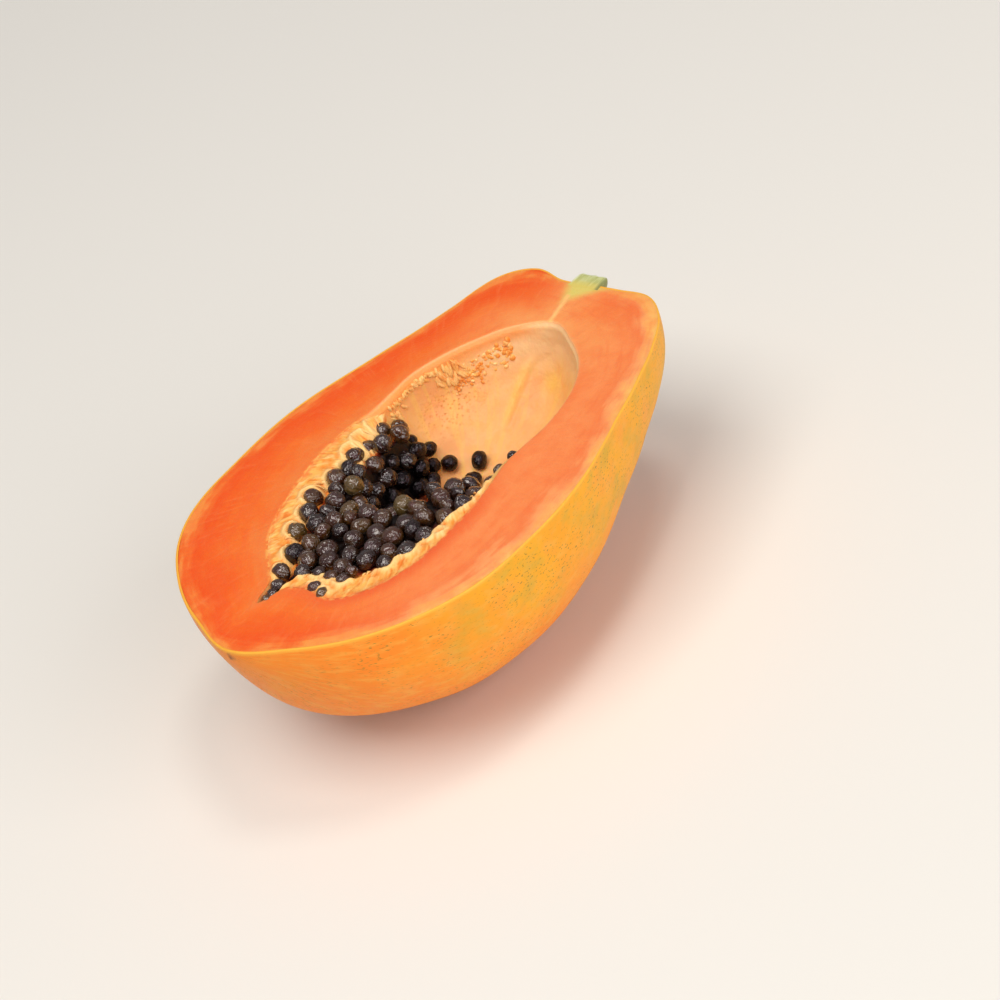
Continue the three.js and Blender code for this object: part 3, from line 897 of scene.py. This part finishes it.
def make_lining(material, seeds):
    draw = np.random.default_rng(5)
    groups = [lining_sheet(seeds), strands(draw), knobs(draw)] + [tassels(draw, *row) for row in TASSELS]
    points, faces = join([group[:2] for group in groups])
    attributes = {}
    for label in ("pale", "deep", "outer"):
        parts = [traits.get(label, np.zeros(bodies.size // 3)) for bodies, _, traits in groups]
        attributes[label] = np.concatenate(parts)
    x, y, z = points.T
    along_strings = np.hypot(x, y) / LINING_STRETCH["inward"] + z / LINING_STRETCH["down"]
    attributes["inward"] = fanned(x, y, along_strings)
    add_piece("lining", points, faces, [material], ["fruit"], attributes)


# ---- seeds ----

# Radii in millimetres, how close two seeds' middles come as a share of their radii together,
# and a seed's least thickness as a share of its length.
SEED = {"smallest": 2.7, "largest": 3.8, "apart": 0.84, "flattest": 0.76, "sides": 22, "rings": 13}
SEED_LUMPS = ((0.12, 0.9), (0.06, 0.4))  # height and size, as shares of the radius
SEED_DARK = (-18, -4)  # between these heights the seeds go from unlit to as they are
# Shares of a seed's radius: how high its middle lies over the bed, how far it stays below the
# cut face, and how far the wall and the bed have to be from each other for it to fit.
SEED_ROOM = {"rise": (0.1, 0.75), "below_cut": 0.55, "aside": 0.3, "over_wall": 0.2, "in_bed": 0.4}
SEED_AREA = {"back": -90, "front": 30, "half_width": 50}
SEED_TRIES = 26000
# Seeds outside the heap. Those on the cavity's wall go by x, y and radius, and rise over it by a
# share of the radius. Those under the rim, in the cleft and on the lining go by x, y, z, radius.
WALL_SEEDS = ((27.4, 12.6, 3.5), (20.1, 10.5, 3.2), (16.2, 30, 2.5), (19.5, 26.7, 3.2), (21.1, 20.6, 3.1))
WALL_SEED_RISE = 0.75
RIM_SEEDS = ((6.8, -30.6, -3.6, 2.4), (-0.5, -30, -3.6, 2.4), (-7, -31.5, -3.1, 2.3),
             (-36, -33.5, -2.6, 1.8), (-69.6, 9.9, -1.4, 3.2), (-75.4, 6, -1.4, 2.8),
             (-79.4, 5.4, -1.6, 2.2), (-82.6, 5, -1.2, 1.9), (-67.2, 2.1, -1.4, 3),
             (-65.7, -4.4, -1.4, 2.8), (-66.1, -9.8, -1.3, 2.8), (-61.4, -15.2, -1.2, 2.1),
             (-72.7, -8.7, -0.8, 2.7), (-74.3, -13.2, -0.6, 2.4))
# The outer seeds leave gaps: how far in from the opening, the gaps' size, and the noise below
# which one opens.
SEED_GAPS = {"inside": 11, "size": 7, "below": -0.05}


def seed_places():
    """Seeds thrown on the bed at random, the largest first, where they don't sink into another."""
    draw = np.random.default_rng(20)
    x = draw.uniform(SEED_AREA["back"], SEED_AREA["front"], SEED_TRIES)
    y = draw.uniform(-SEED_AREA["half_width"], SEED_AREA["half_width"], SEED_TRIES)
    radius = np.linspace(SEED["largest"], SEED["smallest"], SEED_TRIES)
    bed = bed_height(x, y)
    rise = radius * draw.uniform(*SEED_ROOM["rise"], SEED_TRIES)
    z = np.minimum(bed + rise, -radius * SEED_ROOM["below_cut"])
    outward = 1 + radius * SEED_ROOM["aside"] / np.hypot(x, y)
    wall = wall_height(x * outward, y * outward)
    fits = (wall < 0) & (wall < z - radius * SEED_ROOM["over_wall"])
    fits &= wall_height(x, y) < bed - radius * SEED_ROOM["in_bed"]
    spread = lumps(np.stack([x, y, 0 * x], -1), SEED_GAPS["size"], 2.6)
    fits &= (opening_distance(x, y) - np.hypot(x, y) > SEED_GAPS["inside"]) | (spread > SEED_GAPS["below"])
    places = [(x, y, float(wall_height(x, y)) + size * WALL_SEED_RISE, size) for x, y, size in WALL_SEEDS]
    places += RIM_SEEDS
    for place in np.stack([x, y, z, radius], -1)[fits]:
        others = np.array(places)
        apart = np.linalg.norm(others[:, :3] - place[:3], axis=1)
        if np.all(apart > (others[:, 3] + place[3]) * SEED["apart"]):
            places.append(place)
    return np.array(places)


def make_seeds(material, seeds):
    draw = np.random.default_rng(7)
    round_points, faces = ball(SEED["sides"], SEED["rings"])
    bodies, own, shades = [], [], []
    for x, y, z, radius in seeds:
        spin, tilt = draw.uniform(0, 2 * math.pi, 2)
        turn = Matrix.Rotation(spin, 3, "X") @ Matrix.Rotation(tilt, 3, "Z")
        pattern = draw.uniform(0, 90)
        uneven = 1 + sum(height * lumps(round_points, size, pattern) for height, size in SEED_LUMPS)
        flatness = draw.uniform(SEED["flattest"], 1, 2)
        shape = round_points * uneven[:, None] * radius * (1, *flatness) @ np.array(turn).T
        bodies.append(shape + (x, y, z))
        own.append(shape + pattern)
        # Seeds are painted darker the deeper they lie: painted shade.
        shades.append(np.full(len(shape), draw.uniform() * ramp(z, *SEED_DARK)))
    points, faces = join([(np.array(bodies), faces)])
    add_piece("seed_heap", points, faces, [material], ["seeds"],
              {"shade": np.concatenate(shades), "own": np.concatenate(own)})


# ---- pulp ----

AROUND_PULP = 300
PULP_SHARES = np.linspace(0.02, 0.985, 64)  # of the way from the heart to the opening
PULP = {"below_bed": 1.0, "lump_height": 0.8, "lump_size": 3, "hidden": 3, "thickness": 4}
PULP_HIDES = (0, -2)  # between these heights over the wall it dives into the flesh
# Its border's colours reach in from the side and up from the wall.
PULP_BORDER = {"aside": (10, 3), "up": (7, 2.5)}


def make_pulp(material):
    """The soft bed under the seeds. Where it would lie below the wall, it hides in the flesh."""
    cos, sin = directions(AROUND_PULP)
    opening = opening_distance(cos, sin)

    def ring(share, height, wall, pushed):
        """A ring at a share of the way to the opening, pushed away from the heart."""
        x, y = cos * opening * share, sin * opening * share
        longer = 1 + pushed / np.sqrt(x**2 + y**2 + wall**2)
        return np.stack([x, y, height], -1) * longer[:, None]

    rings, borders = [], []
    for share in PULP_SHARES:
        x, y = cos * opening * share, sin * opening * share
        wall = wall_height(x, y)
        relief = PULP["lump_height"] * lumps(np.stack([x, y, 0 * x], -1), PULP["lump_size"], 1.3)
        bed = bed_height(x, y) - PULP["below_bed"] + relief
        pushed = PULP["hidden"] * ramp(bed - wall, *PULP_HIDES)
        rings.append(ring(share, np.maximum(bed, wall), wall, pushed))
        aside = ramp(opening * (1 - share), *PULP_BORDER["aside"])
        borders.append(np.maximum(aside, ramp(bed - wall, *PULP_BORDER["up"])))
    middle = float(rings[0][:, 2].mean())
    for share in PULP_SHARES[::-3]:
        wall = wall_height(cos * opening * share, sin * opening * share)
        rings.append(ring(share, wall, wall, PULP["thickness"]))
        borders.append(0 * cos)
    points = ring_body([0, 0, middle], rings, [0, 0, -CAVITY_DEPTH - PULP["thickness"]])
    add_piece("pulp", points, ring_faces(len(rings), AROUND_PULP), [material], ["seeds"],
              {"border": np.concatenate([[0], *borders, [0]])})


# ---- stem ----

AROUND_STEM = 72
# Along the stub: x, radius, and the height of its cut top. It dives under the flesh at its root.
STEM_PROFILE = ((82, 3, -1.4), (85, 5, -0.8), (88.5, 6.8, -0.25), (91, 6.7, 0.05), (93, 6.6, 0.12),
                (94.5, 6.6, 0.14), (96, 6.5, 0.1), (97.2, 6.2, 0.05), (97.9, 5.6, -0.1), (98.3, 4.6, -0.4))
STEM_MIDDLE = 1.9  # to the left of the long axis
STEM_LUMPS = {"share": 0.05, "size": 2.5}
STEM_TEAR = {"depth": 0.5, "size": 1.6, "x": (96, 98)}
STEM_STRETCH = 11  # how many times as long as wide its fibres are
STEM_MARKS = {
    "base": (1, ("x", 95, 91.5)),
    "end": (1, ("x", 97.2, 98), ("z", -3, -0.3)),
    # Painted highlight along the stub's left edge.
    "painted_highlight_edge": (1, ("left", 5.2, 6.3), ("x", 92, 94)),
    # Painted shadow on the stub's right side.
    "under": (0.8, ("left", -4.5, -6.2)),
}


def make_stem(material):
    cos, sin = directions(AROUND_STEM)
    rings = []
    for x, radius, top in STEM_PROFILE:
        smooth = np.stack([x + 0 * cos, STEM_MIDDLE + radius * cos, radius * sin], -1)
        radius = radius * (1 + STEM_LUMPS["share"] * lumps(smooth, STEM_LUMPS["size"], 2.2))
        torn = STEM_TEAR["depth"] * ramp(x, *STEM_TEAR["x"]) * lumps(smooth, STEM_TEAR["size"], 6.1)
        rings.append(np.stack([x + torn, STEM_MIDDLE + radius * cos, np.minimum(radius * sin, top)], -1))
    root, tip = STEM_PROFILE[0][0] - 1, STEM_PROFILE[-1][0]
    points = ring_body([root, STEM_MIDDLE, -2], rings, [tip, STEM_MIDDLE, -2.5])
    x, y, z = points.T
    attributes = marks(STEM_MARKS, {"x": x, "z": z, "left": y - STEM_MIDDLE})
    # The painted highlight on the left edge joins the torn end's pale colour.
    attributes["end"] = np.maximum(attributes["end"], attributes.pop("painted_highlight_edge"))
    attributes["strings"] = np.stack([x / STEM_STRETCH, y, z], -1)
    add_piece("stem", points, ring_faces(len(rings), AROUND_STEM), [material], ["fruit"],
              attributes, sharp=40)


# ---- scene ----

AIM = (-16.8, -44.7, 0)  # what the camera looks at, from the heart
CAMERA = {"distance": 1084, "azimuth": 38.96, "elevation": 34.49, "roll": 21.5, "lens": 120, "sensor": 36}
# Square lights that face the middle: name, place and size in metres, watts and colour.
LIGHTS = (
    ("key", (-1.0, -0.2, 2.3), 1.5, 40, "#fffaf2"),
    ("top", (0.4, -0.5, 2.3), 0.5, 9, "#fffaf2"),
    ("fill", (-0.2, -2.4, 0.9), 2.4, 46, "#fffcf8"),
)
SURROUNDINGS = {"Color": linear("#f4f6fa"), "Strength": 0.26}
FLOOR_SIZE = 6  # metres


def make_camera():
    azimuth, elevation = math.radians(CAMERA["azimuth"]), math.radians(CAMERA["elevation"])
    forward = Vector((
        math.sin(azimuth) * math.cos(elevation),
        math.cos(azimuth) * math.cos(elevation),
        -math.sin(elevation),
    ))
    roll = Matrix.Rotation(math.radians(-CAMERA["roll"]), 3, "Z")
    turn = forward.to_track_quat("-Z", "Y").to_matrix() @ roll
    target = (Vector(AIM) + HEART) * MM
    camera = bpy.data.objects.new("camera", bpy.data.cameras.new("camera"))
    camera.data.lens = CAMERA["lens"]
    camera.data.sensor_width = CAMERA["sensor"]
    camera.matrix_world = Matrix.Translation(target - forward * CAMERA["distance"] * MM) @ turn.to_4x4()
    bpy.context.scene.collection.objects.link(camera)
    bpy.context.scene.camera = camera


def make_light(name, place, size, power, color):
    light = bpy.data.objects.new(name, bpy.data.lights.new(name, "AREA"))
    light.data.size = size
    light.data.energy = power
    light.data.color = linear(color)[:3]
    light.location = place
    light.rotation_euler = (-Vector(place)).to_track_quat("-Z", "Y").to_euler()
    bpy.context.scene.collection.objects.link(light)


# A matte, warm white table top.
def matte_floor(add, place):
    return {"Base Color": "#e9e6e1", "Roughness": 0.8}


def make_studio():
    bpy.ops.mesh.primitive_plane_add(size=FLOOR_SIZE, location=(0, 0, 0))
    floor = bpy.context.object
    floor.name = "floor"
    floor.data.materials.append(make_material("studio_floor", matte_floor))
    world = bpy.data.worlds.new("studio")
    world.use_nodes = True
    for key, value in SURROUNDINGS.items():
        world.node_tree.nodes["Background"].inputs[key].default_value = value
    bpy.context.scene.world = world
    for light in LIGHTS:
        make_light(*light)
    bpy.context.scene.view_settings.view_transform = "Standard"


make_camera()
make_studio()
make_skin(make_material("papaya_skin_waxy", waxy_skin))
make_flesh(make_material("papaya_flesh_cut", cut_flesh), make_material("papaya_cavity_wall", cavity_wall))
seeds = seed_places()
make_lining(make_material("papaya_lining_fibres", lining_fibres), seeds)
make_pulp(make_material("papaya_seed_pulp", seed_pulp))
make_seeds(make_material("papaya_seed_jelly", seed_jelly), seeds)
make_stem(make_material("papaya_stem_cut", cut_stem))
